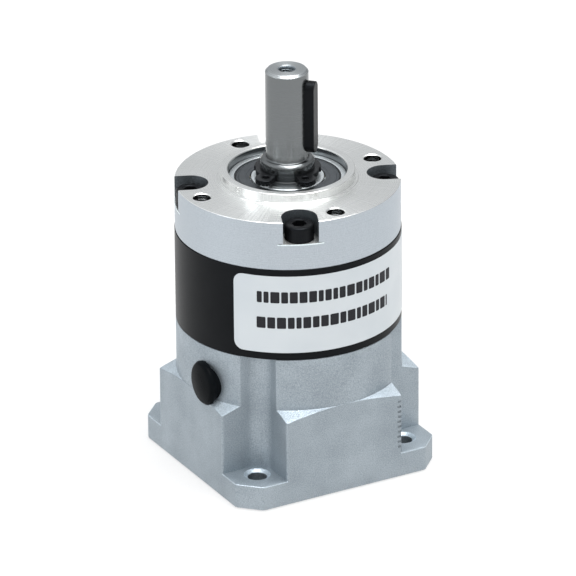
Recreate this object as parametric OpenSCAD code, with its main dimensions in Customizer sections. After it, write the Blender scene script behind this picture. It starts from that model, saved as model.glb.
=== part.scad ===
// Inline planetary gear reducer for a 42 mm stepper frame, single stage, 5:1.
// Z runs along the output shaft. Z = 0 is the motor mounting face, where the part stands.
// Stack from the bottom: motor adapter, ring gear, front flange. The shaft leaves at the top.

/* [Housing] */
// Side of the square motor flange
frame_w = 42; // [41.8:0.1:42.4]
// Radius of the round body
body_r = 21; // [20.9:0.05:21]
// Thickness of the square motor flange
base_t = 4.8; // [4:0.1:6]
// Corner chamfer of the motor flange
base_chamfer = 3.8; // [3:0.1:4.2]
// Height of the joint between the adapter and the ring gear
adapter_top = 27.86; // [27.8:0.02:27.9]
// Height of the joint between the ring gear and the front flange
ring_top = 45.94; // [45.9:0.02:46]
// Height of the front mounting face
face_z = 55.3; // [55.2:0.05:55.4]
// Outer radius of the front flange
flange_r = 20.9; // [20.6:0.05:20.95]
// Radius of the front pilot boss
boss_r = 12.5; // [12.3:0.05:12.7]
// Top of the front pilot boss
boss_top = 57.3; // [57.1:0.05:57.6]

/* [Motor side] */
// Spacing of the motor bolt holes
bolt_gap = 31; // [30.8:0.1:31.2]
// Radius of the motor bolt holes
bolt_r = 1.75; // [1.6:0.05:1.9]
// Radius of the corner pockets over the bolt holes
pocket_r = 3.3; // [3:0.1:3.5]
// Radius of the recess for the motor pilot
pilot_r = 11; // [10.9:0.05:11.2]
// Depth of the recess for the motor pilot
pilot_depth = 2.4; // [2:0.1:3]
// Radius of the motor shaft bore
motor_bore_r = 2.5; // [2.4:0.05:2.6]
// Height of the access hole and of the clamp screw behind it
clamp_z = 20.5; // [20.3:0.1:20.8]
// Offset of the access hole from the shaft axis
clamp_y = 5.2; // [5:0.1:5.6]

/* [Gears] */
// Gear module
gear_m = 0.6; // [0.6:0.01:0.6]
// Teeth of the sun gear
sun_z = 12; // [12:1:12]
// Teeth of each planet gear
planet_z = 18; // [18:1:18]
// Teeth of the ring gear
ring_z = 48; // [48:1:48]
// Flank clearance of each gear at its pitch circle
flank_gap = 0.022; // [0.015:0.001:0.03]

/* [Output side] */
// Radius of the output shaft
shaft_r = 4; // [3.9:0.05:4.1]
// Radius of the bearing journal
journal_r = 5; // [5:0.05:5]
// Top of the output shaft
shaft_top = 77; // [75.5:0.1:80]
// Width and height of the key
key_w = 3; // [2.8:0.1:3.1]
// Length of the key
key_len = 14; // [12:0.5:14]
// Direction of the key about the shaft
key_angle = -45.5; // [-180:0.5:180]
// Radius of the bolt circle on the front face
front_pc_r = 18; // [17.9:0.05:18.1]
// Core radius of the four output threads
front_hole_r = 1.65; // [1.6:0.05:1.7]
// Height of the seat under the housing screw heads
screw_seat_z = 51; // [50.8:0.1:51.4]
// Direction of the retaining ring's gap
circlip_angle = -123; // [-180:1:180]

/* [Hidden] */
$fn = 96;
eps = 0.01;
plug_seat_x = 20.35;
plug_r = 4.1;
clamp_screw_y = clamp_y + 1.2;
clamp_screw_r = 1.2;
clamp_head_r = 2.1;
clamp_seat_x = 2.2;
spigot_r = 15.5;
spigot_h = 2.5;
screw_r = 1.44;
screw_tap_r = 1.45;
screw_gap_r = 1.85;
screw_first = -112.5;
screw_head_r = 2.75;
screw_len = 30;
planet_circle = gear_m * (sun_z + planet_z) / 2;
input_z = 25.36;
input_w = 5;
front_z = 49.7;
front_w = 6;
rear_z = 45;
rear_w = 4;
plate_z = 42.8;
cover_z = 32;
cover_t = 1.8;
gear_z = 34.3;
gear_w = 8;
pin_r = 1.5;
post_circle = 11;
label_from = -147.4;
label_to = -11;
label_z0 = 29.4;
label_z1 = 44.7;
label_c = 1.8;

// ---- gear tooth outlines ----

function inv_deg(a) = tan(a) * 180 / PI - a;
function half_tooth(z, r) =
  90 / z + inv_deg(20) - inv_deg(acos(min(1, gear_m * z / 2 * cos(20) / r)));
function polar(r, a) = [r * cos(a), r * sin(a)];
function steps(lo, hi, n) = [for (i = [0 : n]) lo + (hi - lo) * i / n];

// Involute outline: teeth centred on start, start + 360 / z, and so on; slack in mm thins each flank
function gear_points(z, root, tip, start, slack) =
  let (base = gear_m * z / 2 * cos(20))
  let (low = max(root, base))
  let (radii = concat(root < base ? [root] : [], steps(low, tip, 5)))
  let (thin = slack / (gear_m * z / 2) * 180 / PI)
  let (last = len(radii) - 1)
  [for (k = [0 : z - 1])
    for (i = [0 : 2 * last + 1])
      let (r = i <= last ? radii[i] : radii[2 * last + 1 - i])
      let (side = i <= last ? -1 : 1)
      polar(r, start + 360 * k / z + side * (half_tooth(z, r) - thin))];

// ---- shared shapes ----

module ring(r_out, r_in, h) {
  difference() {
    cylinder(r = r_out, h = h);
    translate([0, 0, -1])
      cylinder(r = r_in, h = h + 2);
  }
}

module chamfered_rod(r, h, c) {
  rotate_extrude()
    polygon([[0, 0], [r, 0], [r, h - c], [r - c, h], [0, h]]);
}

module round_pattern(count, r, first = 0) {
  for (i = [0 : count - 1])
    rotate([0, 0, first + 360 * i / count])
      translate([r, 0, 0])
        children();
}

module frame_corners() {
  for (sx = [0, 1], sy = [0, 1])
    mirror([sx, 0, 0])
      mirror([0, sy, 0])
        children();
}

module hex_socket(af, depth) {
  cylinder(r = af / 2 / cos(30), h = depth, $fn = 6);
}

module race_groove(pitch_r, groove_r) {
  rotate_extrude()
    translate([pitch_r, 0])
      circle(r = groove_r);
}

module bearing_outer(ro, ri, w, step_r, step_w, pitch_r, ball_r) {
  difference() {
    rotate_extrude()
      polygon([
        [step_r, 0], [ro - 0.25, 0], [ro, 0.25], [ro, w - 0.25], [ro - 0.25, w], [step_r, w],
        [step_r, w - step_w], [ri, w - step_w], [ri, step_w], [step_r, step_w]
      ]);
    translate([0, 0, w / 2])
      race_groove(pitch_r, ball_r + 0.05);
  }
}

module bearing_inner(ri, ro, w, pitch_r, ball_r) {
  difference() {
    rotate_extrude()
      polygon([
        [ri, 0.2], [ri + 0.2, 0], [ro, 0], [ro, w], [ri + 0.2, w], [ri, w - 0.2]
      ]);
    translate([0, 0, w / 2])
      race_groove(pitch_r, ball_r + 0.05);
  }
}

module bearing_balls(count, pitch_r, ball_r) {
  round_pattern(count, pitch_r)
    sphere(r = ball_r);
}

module bearing_cage(count, pitch_r, ball_r, t, h) {
  difference() {
    translate([0, 0, -h / 2])
      ring(pitch_r + t / 2, pitch_r - t / 2, h);
    round_pattern(count, pitch_r - t)
      rotate([0, 90, 0])
        cylinder(r = ball_r + 0.04, h = 2 * t);
  }
}

// ---- housing ----

module corner_pocket(h) {
  edge = bolt_gap / 2;
  translate([edge, edge, base_t])
    cylinder(r = pocket_r, h = h);
  translate([edge - pocket_r, edge, base_t])
    cube([20, 20, h]);
  translate([edge, edge - pocket_r, base_t])
    cube([20, 20, h]);
}

module motor_adapter() {
  half = frame_w / 2;
  cone_z = 17.7;
  color([0.66, 0.69, 0.72])
    difference() {
      union() {
        intersection() {
          translate([-half, -half, 0])
            cube([frame_w, frame_w, adapter_top]);
          rotate_extrude()
            polygon([
              [0, 0], [32, 0], [32, cone_z - 0.375 * (32 - body_r)],
              [body_r, cone_z], [body_r, adapter_top], [0, adapter_top]
            ]);
        }
        cylinder(r = spigot_r, h = adapter_top + spigot_h);
      }
      frame_corners() {
        corner_pocket(adapter_top - base_t + 3);
        translate([bolt_gap / 2, bolt_gap / 2, -1])
          cylinder(r = bolt_r, h = base_t + 2);
        translate([bolt_gap / 2, bolt_gap / 2, base_t - 0.5])
          cylinder(r1 = bolt_r, r2 = bolt_r + 0.6, h = 0.6);
        translate([half, half, -1])
          rotate([0, 0, 45])
            translate([-base_chamfer * sin(45), -10, 0])
              cube([20, 20, base_t + 2]);
      }
      translate([0, 0, -1])
        cylinder(r = pilot_r, h = pilot_depth + 1);
      cylinder(r = 10.4, h = input_z + 1);
      translate([0, 0, input_z])
        cylinder(r = 12, h = 10);
      round_pattern(4, front_pc_r, screw_first)
        translate([0, 0, screw_seat_z - screw_len - 1])
          cylinder(r = screw_tap_r, h = 20);
      translate([-30, -clamp_y, clamp_z])
        rotate([0, 90, 0])
          cylinder(r = 3.5, h = 24);
      translate([-30, -clamp_y, clamp_z])
        rotate([0, 90, 0])
          cylinder(r = plug_r + 0.1, h = 30 - plug_seat_x);
      translate([0, 0, adapter_top + 0.8])
        ring(20, 14.6, 1.1);
    }
}

module ring_gear() {
  h = ring_top - adapter_top;
  c = 0.2;
  color([0.13, 0.13, 0.14])
    difference() {
      translate([0, 0, adapter_top])
        rotate_extrude()
          polygon([[0, 0], [body_r - c, 0], [body_r, c], [body_r, h - c], [body_r - c, h], [0, h]]);
      translate([0, 0, adapter_top - 1])
        linear_extrude(height = h + 2)
          polygon(gear_points(ring_z, 13.9, 15.06, 180 / ring_z, -flank_gap));
      translate([0, 0, adapter_top - 1])
        cylinder(r = spigot_r + 0.02, h = spigot_h + 1.02);
      translate([0, 0, ring_top - spigot_h - 0.02])
        cylinder(r = spigot_r + 0.02, h = spigot_h + 1);
      round_pattern(4, front_pc_r, screw_first)
        translate([0, 0, adapter_top - 1])
          cylinder(r = screw_gap_r, h = h + 2);
    }
}

module screw_slot() {
  translate([0, 0, screw_seat_z])
    cylinder(r = pocket_r, h = 10);
  translate([0, -pocket_r, screw_seat_z])
    cube([6, 2 * pocket_r, 10]);
  translate([0, 0, screw_seat_z])
    cylinder(r = pocket_r + 0.8, h = 0.3);
  translate([0, -pocket_r - 0.8, screw_seat_z])
    cube([6, 2 * pocket_r + 1.6, 0.3]);
  translate([0, 0, 40])
    cylinder(r = screw_gap_r, h = 15);
}

module front_flange() {
  color([0.82, 0.85, 0.87])
    difference() {
      union() {
        rotate_extrude()
          polygon([
            [0, ring_top - spigot_h], [spigot_r, ring_top - spigot_h], [spigot_r, ring_top],
            [flange_r - 0.15, ring_top], [flange_r, ring_top + 0.15],
            [flange_r, face_z - 0.2], [flange_r - 0.15, face_z],
            [boss_r + 0.5, face_z], [boss_r + 0.5, face_z + 0.25], [boss_r, face_z + 0.25],
            [boss_r, boss_top - 0.2], [boss_r - 0.2, boss_top], [0, boss_top]
          ]);
      }
      translate([0, 0, ring_top - spigot_h - 1])
        cylinder(r = 13.5, h = rear_z - ring_top + spigot_h + 1);
      translate([0, 0, rear_z - 1])
        cylinder(r = 9, h = rear_w + 1);
      translate([0, 0, rear_z])
        cylinder(r = 8.2, h = 10);
      translate([0, 0, front_z])
        cylinder(r = 11, h = 10);
      translate([0, 0, boss_top - 0.25])
        cylinder(r1 = 11, r2 = 11.3, h = 0.3);
      translate([0, 0, ring_top - 1.8])
        ring(20, 14.6, 1.1);
      round_pattern(4, front_pc_r, screw_first)
        screw_slot();
      round_pattern(4, front_pc_r) {
        translate([0, 0, face_z - 8])
          cylinder(r = front_hole_r, h = 9);
        translate([0, 0, face_z - 0.4])
          cylinder(r1 = front_hole_r, r2 = front_hole_r + 0.5, h = 0.5);
      }
    }
}

module housing_screw(i) {
  color([0.12, 0.12, 0.13])
    rotate([0, 0, screw_first + 90 * (i - 1)])
      translate([front_pc_r, 0, screw_seat_z])
        difference() {
          union() {
            chamfered_rod(screw_head_r, 3, 0.25);
            translate([0, 0, -screw_len])
              cylinder(r = screw_r, h = screw_len + 1);
          }
          translate([0, 0, 1.6])
            hex_socket(2.5, 2);
        }
}

module o_ring(z) {
  color([0.08, 0.08, 0.08])
    translate([0, 0, z])
      rotate_extrude()
        translate([15.04, 0])
          circle(r = 0.43, $fn = 32);
}

module label_corner(top) {
  z = top ? label_z1 - label_c : label_z0 + label_c;
  difference() {
    translate([body_r - 1, -label_c, top ? z : z - 2 * label_c])
      cube([3, 3 * label_c, 2 * label_c]);
    translate([body_r - 2, -label_c, z])
      rotate([0, 90, 0])
        cylinder(r = 1.06 * label_c, h = 5);
  }
}

module rating_label() {
  color([0.92, 0.93, 0.93])
    difference() {
      rotate([0, 0, label_from])
        rotate_extrude(angle = label_to - label_from)
          translate([body_r, label_z0])
            square([0.08, label_z1 - label_z0]);
      for (top = [false, true]) {
        rotate([0, 0, label_to])
          label_corner(top);
        rotate([0, 0, label_from])
          mirror([0, 1, 0])
            label_corner(top);
      }
    }
}

module access_plug() {
  color([0.1, 0.1, 0.1])
    translate([-plug_seat_x, -clamp_y, clamp_z])
      rotate([0, -90, 0])
        union() {
          rotate_extrude()
            polygon([
              [0, 0], [plug_r, 0], [plug_r, 0.6], [plug_r - 0.12, 1], [plug_r - 0.4, 1.32],
              [plug_r - 1, 1.52], [plug_r - 1.9, 1.6], [0, 1.62]
            ]);
          translate([0, 0, -6])
            cylinder(r = 3.47, h = 6.1);
        }
}

// ---- output side ----

module key_shape(slack) {
  reach = 3;
  rotate([0, 0, key_angle])
    translate([2.5 - slack, 0, shaft_top - 2 - key_len / 2])
      rotate([0, 90, 0])
        union() {
          translate([-key_len / 2 + key_w / 2, -key_w / 2, 0])
            cube([key_len - key_w, key_w, reach]);
          for (s = [-1, 1])
            translate([s * (key_len - key_w) / 2, 0, 0])
              cylinder(r = key_w / 2, h = reach);
        }
}

module output_shaft() {
  color([0.55, 0.56, 0.57])
    difference() {
      union() {
        rotate_extrude()
          polygon([
            [0, plate_z], [13, plate_z], [13, plate_z + 2], [6.8, plate_z + 2], [6.8, rear_z],
            [6, rear_z], [6, front_z], [journal_r, front_z], [journal_r, 56.45], [4.8, 56.45],
            [4.8, 57.55], [journal_r, 57.55], [journal_r, 59.2], [4.6, 59.6], [shaft_r, 59.6],
            [shaft_r, shaft_top - 0.45], [shaft_r - 0.45, shaft_top], [0, shaft_top]
          ]);
        round_pattern(3, post_circle, 60)
          translate([0, 0, cover_z + cover_t])
            cylinder(r = 1.9, h = plate_z - cover_z - cover_t + 0.5);
      }
      round_pattern(3, post_circle, 60)
        translate([0, 0, cover_z])
          cylinder(r = 1, h = 6.5);
      round_pattern(3, planet_circle)
        translate([0, 0, plate_z - 1])
          cylinder(r = pin_r, h = 4);
      translate([0, 0, shaft_top - 10])
        cylinder(r = 1.25, h = 11);
      translate([0, 0, shaft_top - 0.5])
        cylinder(r1 = 1.25, r2 = 1.85, h = 0.6);
      key_shape(0);
    }
}

module output_key() {
  color([0.12, 0.12, 0.12])
    key_shape(0);
}

module shaft_shim() {
  color([0.8, 0.8, 0.8])
    translate([0, 0, front_z + front_w])
      ring(5.45, journal_r, 0.8);
}

module shaft_circlip() {
  color([0.12, 0.12, 0.12])
    translate([0, 0, 56.5])
      rotate([0, 0, circlip_angle])
        difference() {
          union() {
            translate([-0.25, 0, 0])
              cylinder(r = 6.3, h = 1);
            for (s = [-1, 1])
              rotate([0, 0, s * 35])
                hull() {
                  translate([6.3, 0, 0])
                    cylinder(r = 1.9, h = 1, $fn = 32);
                  translate([4.6, s * 0.9, 0])
                    cylinder(r = 1.3, h = 1, $fn = 32);
                }
          }
          translate([0, 0, -1])
            cylinder(r = 4.85, h = 3);
          translate([3, -1.75, -1])
            cube([8, 3.5, 3]);
          for (s = [-1, 1])
            rotate([0, 0, s * 35])
              translate([6.3, 0, -1])
                cylinder(r = 0.75, h = 3);
        }
}

module carrier_cover() {
  color([0.6, 0.6, 0.6])
    difference() {
      translate([0, 0, cover_z])
        ring(13, 6.5, cover_t);
      round_pattern(3, planet_circle)
        translate([0, 0, cover_z - 1])
          cylinder(r = pin_r, h = 4);
      round_pattern(3, post_circle, 60) {
        translate([0, 0, cover_z - 1])
          cylinder(r = 1.05, h = 4);
        translate([0, 0, cover_z - 0.1])
          cylinder(r1 = 1.95, r2 = 1.0, h = 1.0);
      }
    }
}

module carrier_screws() {
  color([0.3, 0.3, 0.3])
    round_pattern(3, post_circle, 60)
      translate([0, 0, cover_z])
        difference() {
          union() {
            cylinder(r1 = 1.8, r2 = 0.95, h = 0.85);
            cylinder(r = 0.98, h = 6);
          }
          translate([0, 0, -0.1])
            hex_socket(1.3, 0.7);
        }
}

module planet_pin(i) {
  color([0.7, 0.7, 0.7])
    rotate([0, 0, 120 * (i - 1)])
      translate([planet_circle, 0, cover_z])
        cylinder(r = pin_r, h = plate_z + 2 - cover_z);
}

module thrust_washers(i) {
  color([0.75, 0.62, 0.35])
    rotate([0, 0, 120 * (i - 1)])
      translate([planet_circle, 0, 0])
        for (z = [gear_z - 0.45, gear_z + gear_w + 0.05])
          translate([0, 0, z])
            ring(4.5, pin_r + 0.05, 0.4);
}

module planet_gear(i) {
  color([0.45, 0.45, 0.46])
    rotate([0, 0, 120 * (i - 1)])
      translate([planet_circle, 0, gear_z])
        difference() {
          linear_extrude(height = gear_w)
            polygon(gear_points(planet_z, 4.74, 5.9, 180 / planet_z, flank_gap));
          translate([0, 0, -1])
            cylinder(r = 2.56, h = gear_w + 2);
        }
}

module planet_needles(i) {
  color([0.8, 0.8, 0.8])
    rotate([0, 0, 120 * (i - 1)])
      translate([planet_circle, 0, gear_z + 0.4])
        round_pattern(12, 2.03)
          cylinder(r = 0.5, h = gear_w - 0.8);
}

// ---- bearings ----

module front_bearing_outer() {
  color([0.8, 0.8, 0.8])
    translate([0, 0, front_z])
      bearing_outer(11, 9.15, front_w, 9.85, 0.8, 8, 1.55);
}

module front_bearing_inner() {
  color([0.8, 0.8, 0.8])
    translate([0, 0, front_z])
      bearing_inner(journal_r, 6.8, front_w, 8, 1.55);
}

module front_bearing_balls() {
  color([0.85, 0.85, 0.85])
    translate([0, 0, front_z + front_w / 2])
      bearing_balls(9, 8, 1.55);
}

module front_bearing_cage() {
  color([0.5, 0.42, 0.25])
    translate([0, 0, front_z + front_w / 2])
      bearing_cage(9, 8, 1.55, 1, 4);
}

module seal_disc(z) {
  color([0.22, 0.23, 0.25])
    translate([0, 0, z])
      ring(9.75, 6.9, 0.35);
}

module rear_bearing_outer() {
  color([0.8, 0.8, 0.8])
    translate([0, 0, rear_z])
      bearing_outer(9, 8.05, rear_w, 8.2, 0.3, 7.5, 0.85);
}

module rear_bearing_inner() {
  color([0.8, 0.8, 0.8])
    translate([0, 0, rear_z])
      bearing_inner(6, 6.95, rear_w, 7.5, 0.85);
}

module rear_bearing_balls() {
  color([0.85, 0.85, 0.85])
    translate([0, 0, rear_z + rear_w / 2])
      bearing_balls(14, 7.5, 0.85);
}

module rear_bearing_cage() {
  color([0.5, 0.42, 0.25])
    translate([0, 0, rear_z + rear_w / 2])
      bearing_cage(14, 7.5, 0.85, 0.6, 2.6);
}

module input_bearing_outer() {
  color([0.8, 0.8, 0.8])
    translate([0, 0, input_z])
      bearing_outer(12, 10.5, input_w, 10.9, 0.6, 9.75, 1.15);
}

module input_bearing_inner() {
  color([0.8, 0.8, 0.8])
    translate([0, 0, input_z])
      bearing_inner(7.5, 8.9, input_w, 9.75, 1.15);
}

module input_bearing_balls() {
  color([0.85, 0.85, 0.85])
    translate([0, 0, input_z + input_w / 2])
      bearing_balls(12, 9.75, 1.15);
}

module input_bearing_cage() {
  color([0.5, 0.42, 0.25])
    translate([0, 0, input_z + input_w / 2])
      bearing_cage(12, 9.75, 1.15, 0.9, 3);
}

module input_bearing_shields() {
  color([0.7, 0.7, 0.7])
    for (z = [0.25, input_w - 0.5])
      translate([0, 0, input_z + z])
        ring(10.85, 9, 0.25);
}

// ---- input side ----

module input_shaft() {
  color([0.6, 0.61, 0.62])
    difference() {
      union() {
        rotate_extrude()
          polygon([
            [0, 8], [4.3, 8], [4.5, 8.2], [4.5, 24.9], [8.4, 24.9], [8.4, input_z],
            [7.5, input_z], [7.5, 30.38], [7.1, 30.38], [7.1, 31.24], [7.5, 31.24],
            [7.5, 31.5], [7.3, 31.7], [0, 31.7]
          ]);
        translate([0, 0, 31.2])
          linear_extrude(height = 11.1)
            polygon(gear_points(sun_z, 2.95, 4.1, 0, flank_gap));
      }
      translate([0, 0, 7])
        cylinder(r = motor_bore_r, h = 17.6);
      translate([0, 0, 7.99])
        cylinder(r1 = motor_bore_r + 0.4, r2 = motor_bore_r, h = 0.4);
      for (a = [0, 90])
        rotate([0, 0, a])
          translate([-0.4, -6, 7])
            cube([0.8, 12, 15.5]);
    }
}

module input_circlip() {
  color([0.2, 0.2, 0.2])
    translate([0, 0, 30.41])
      difference() {
        ring(8.7, 7.15, 0.8);
        translate([4, -1.6, -1])
          cube([8, 3.2, 3]);
      }
}

module clamp_ring() {
  color([0.4, 0.41, 0.42])
    difference() {
      translate([0, 0, clamp_z - 3.1])
        ring(9.6, 4.52, 6.2);
      translate([-0.5, -12, clamp_z - 5])
        cube([1, 9, 10]);
      translate([0, -clamp_screw_y, clamp_z])
        rotate([0, 90, 0])
          translate([0, 0, -12]) {
            cylinder(r = clamp_screw_r + 0.05, h = 24);
            cylinder(r = clamp_head_r + 0.2, h = 12 - clamp_seat_x);
          }
    }
}

module clamp_screw() {
  color([0.15, 0.15, 0.15])
    translate([-clamp_seat_x, -clamp_screw_y, clamp_z])
      rotate([0, -90, 0])
        difference() {
          union() {
            chamfered_rod(clamp_head_r, 2.2, 0.2);
            translate([0, 0, -7])
              cylinder(r = clamp_screw_r, h = 8);
          }
          translate([0, 0, 1])
            hex_socket(2, 2);
        }
}

motor_adapter();
ring_gear();
front_flange();
rating_label();
access_plug();
housing_screw(1);  // housing_screw_1
housing_screw(2);  // housing_screw_2
housing_screw(3);  // housing_screw_3
housing_screw(4);  // housing_screw_4
o_ring(adapter_top + 1.35);  // rear_o_ring
o_ring(ring_top - 1.25);  // front_o_ring
output_shaft();
output_key();
shaft_circlip();
shaft_shim();
carrier_cover();
carrier_screws();
planet_pin(1);  // planet_pin_1
planet_pin(2);  // planet_pin_2
planet_pin(3);  // planet_pin_3
thrust_washers(1);  // thrust_washers_1
thrust_washers(2);  // thrust_washers_2
thrust_washers(3);  // thrust_washers_3
planet_gear(1);  // planet_gear_1
planet_gear(2);  // planet_gear_2
planet_gear(3);  // planet_gear_3
planet_needles(1);  // planet_needles_1
planet_needles(2);  // planet_needles_2
planet_needles(3);  // planet_needles_3
front_bearing_outer();
front_bearing_inner();
front_bearing_balls();
front_bearing_cage();
seal_disc(front_z + front_w - 0.5);  // front_bearing_seal
seal_disc(front_z + 0.15);  // front_bearing_rear_seal
rear_bearing_outer();
rear_bearing_inner();
rear_bearing_balls();
rear_bearing_cage();
input_bearing_outer();
input_bearing_inner();
input_bearing_balls();
input_bearing_cage();
input_bearing_shields();
input_shaft();
input_circlip();
clamp_ring();
clamp_screw();
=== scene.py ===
import bpy, bmesh, math
import numpy as np
from mathutils import Vector, Matrix


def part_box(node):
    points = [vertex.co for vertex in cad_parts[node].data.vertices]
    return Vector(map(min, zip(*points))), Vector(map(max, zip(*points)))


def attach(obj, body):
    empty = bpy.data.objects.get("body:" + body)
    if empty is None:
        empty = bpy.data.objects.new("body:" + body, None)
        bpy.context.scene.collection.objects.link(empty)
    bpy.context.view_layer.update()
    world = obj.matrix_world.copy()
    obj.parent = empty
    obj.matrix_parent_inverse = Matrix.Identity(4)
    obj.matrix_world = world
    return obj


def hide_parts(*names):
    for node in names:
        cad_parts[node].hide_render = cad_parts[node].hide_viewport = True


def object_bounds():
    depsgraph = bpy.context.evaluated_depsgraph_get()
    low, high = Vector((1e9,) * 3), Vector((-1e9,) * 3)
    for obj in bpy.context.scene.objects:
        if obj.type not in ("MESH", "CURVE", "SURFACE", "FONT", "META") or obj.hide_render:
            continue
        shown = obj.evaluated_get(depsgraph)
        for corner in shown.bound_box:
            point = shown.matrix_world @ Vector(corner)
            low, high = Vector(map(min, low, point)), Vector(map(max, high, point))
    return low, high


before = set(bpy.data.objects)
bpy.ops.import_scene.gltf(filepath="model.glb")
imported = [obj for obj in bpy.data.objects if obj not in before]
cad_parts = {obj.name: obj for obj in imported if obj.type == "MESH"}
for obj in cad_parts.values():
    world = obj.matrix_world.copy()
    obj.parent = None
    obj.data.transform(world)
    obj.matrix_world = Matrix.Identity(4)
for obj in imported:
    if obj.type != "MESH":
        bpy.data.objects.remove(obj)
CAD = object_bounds()
MM = 0.001
TAU = 2 * math.pi
scene = bpy.context.scene


def zs(node):
    lo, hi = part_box(node)
    return lo.z / MM, hi.z / MM


# heights and radii that the looks follow, in millimetres, read from the frame
SPIGOT = zs("motor_adapter")[1]
R0, R1 = zs("ring_gear")
F1 = zs("front_flange")[1]
L0, L1 = zs("rating_label")
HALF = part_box("motor_adapter")[1].x / MM
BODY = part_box("ring_gear")[1].x / MM
BOSS_H = 2.0
FACE = F1 - BOSS_H
SHAFT_TOP = zs("output_shaft")[1]
HEAD_H = 3.0
SEAT = zs("housing_screw_1")[1] - HEAD_H
B0, B1 = zs("front_bearing_outer")
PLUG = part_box("access_plug")
S1 = zs("shaft_shim")
C1 = zs("shaft_circlip")

# radius of the circle that carries the slots and the output holes, and directions in degrees
BOLT_R = 18
SLOT_TURN = -112.5
KEY_TURN = -45.5
CLIP_TURN = -123


# ---------- mesh helpers (millimetres in, metres out) ----------

def make(name, verts, faces, mats, smooth=35, face_mats=None):
    me = bpy.data.meshes.new(name)
    me.from_pydata([tuple(c * MM for c in v) for v in verts], [], faces)
    me.validate()
    ob = bpy.data.objects.new(name, me)
    scene.collection.objects.link(ob)
    for m in (mats if isinstance(mats, (list, tuple)) else [mats]):
        me.materials.append(m)
    if face_mats is not None:
        me.polygons.foreach_set("material_index", face_mats)
    bm = bmesh.new()
    bm.from_mesh(me)
    bmesh.ops.recalc_face_normals(bm, faces=bm.faces)
    bm.to_mesh(me)
    bm.free()
    shade(ob, smooth)
    return ob


def shade(ob, angle):
    ob.data.polygons.foreach_set("use_smooth", [True] * len(ob.data.polygons))
    ob.data.set_sharp_from_angle(angle=math.radians(angle))
    ob.data.update()


def apply(ob, kind, **settings):
    m = ob.modifiers.new("m", kind)
    for k, v in settings.items():
        setattr(m, k, v)
    dg = bpy.context.evaluated_depsgraph_get()
    me = bpy.data.meshes.new_from_object(ob.evaluated_get(dg), preserve_all_data_layers=True,
                                         depsgraph=dg)
    ob.modifiers.clear()
    old = ob.data
    ob.data = me
    bpy.data.meshes.remove(old)
    return ob


def weigh(ob, angle=35):
    shade(ob, angle)
    return apply(ob, "WEIGHTED_NORMAL", keep_sharp=True, weight=80)


def fillet(points, radii, seg=5):
    """Rounds the corners of a closed polygon. radii is one number or one per point."""
    out = []
    n = len(points)
    rs = radii if isinstance(radii, (list, tuple)) else [radii] * n
    for i, p in enumerate(points):
        r = rs[i]
        if r <= 0:
            out.append(tuple(p))
            continue
        a = Vector(points[i - 1]) - Vector(p)
        b = Vector(points[(i + 1) % n]) - Vector(p)
        la, lb = a.length, b.length
        a.normalize()
        b.normalize()
        half = math.acos(max(-1, min(1, a.dot(b)))) / 2
        if half > math.pi / 2 - 0.02:
            out.append(tuple(p))
            continue
        d = min(r / math.tan(half), la * 0.48, lb * 0.48)
        rr = d * math.tan(half)
        centre = Vector(p) + (a + b).normalized() * (rr / math.sin(half))
        s = Vector(p) + a * d - centre
        e = Vector(p) + b * d - centre
        turn = math.atan2(s.x * e.y - s.y * e.x, s.dot(e))
        for k in range(seg + 1):
            t = turn * k / seg
            out.append((centre.x + s.x * math.cos(t) - s.y * math.sin(t),
                        centre.y + s.x * math.sin(t) + s.y * math.cos(t)))
    return out


def clean(ob, merge, thin):
    """Merges double points, drops slivers and turns all faces outwards. Distances in metres."""
    bm = bmesh.new()
    bm.from_mesh(ob.data)
    bmesh.ops.remove_doubles(bm, verts=bm.verts, dist=merge)
    bmesh.ops.dissolve_degenerate(bm, edges=bm.edges, dist=thin)
    bmesh.ops.recalc_face_normals(bm, faces=bm.faces)
    bm.to_mesh(ob.data)
    bm.free()


def revolve(name, profile, mats, n=192, smooth=35, at=None, ripple=None):
    """profile is a closed loop of (r, z). at places it: a 4x4 in millimetres."""
    verts, faces = [], []
    m = len(profile)
    for j in range(n):
        a = TAU * j / n
        for r, z in profile:
            rr = r + (ripple(a, r, z) if ripple else 0)
            verts.append((rr * math.cos(a), rr * math.sin(a), z))
    for j in range(n):
        for i in range(m):
            a, b = j * m + i, j * m + (i + 1) % m
            c, d = ((j + 1) % n) * m + (i + 1) % m, ((j + 1) % n) * m + i
            faces.append((a, d, c, b))
    if at is not None:
        verts = [tuple(at @ Vector(v)) for v in verts]
    ob = make(name, verts, faces, mats, smooth)
    clean(ob, 1e-7, 1e-8)
    shade(ob, smooth)
    return ob


def inset(points, d):
    """Moves a counter-clockwise outline inwards by d, corner by corner."""
    p = np.array(points)
    a = p - np.roll(p, 1, 0)
    b = np.roll(p, -1, 0) - p
    na = np.stack([-a[:, 1], a[:, 0]], 1) / (np.linalg.norm(a, axis=1)[:, None] + 1e-12)
    nb = np.stack([-b[:, 1], b[:, 0]], 1) / (np.linalg.norm(b, axis=1)[:, None] + 1e-12)
    m = na + nb
    m /= np.linalg.norm(m, axis=1)[:, None] + 1e-12
    s = 1 / np.maximum(0.35, (m * na).sum(1))
    return p + m * (d * s)[:, None]


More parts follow.
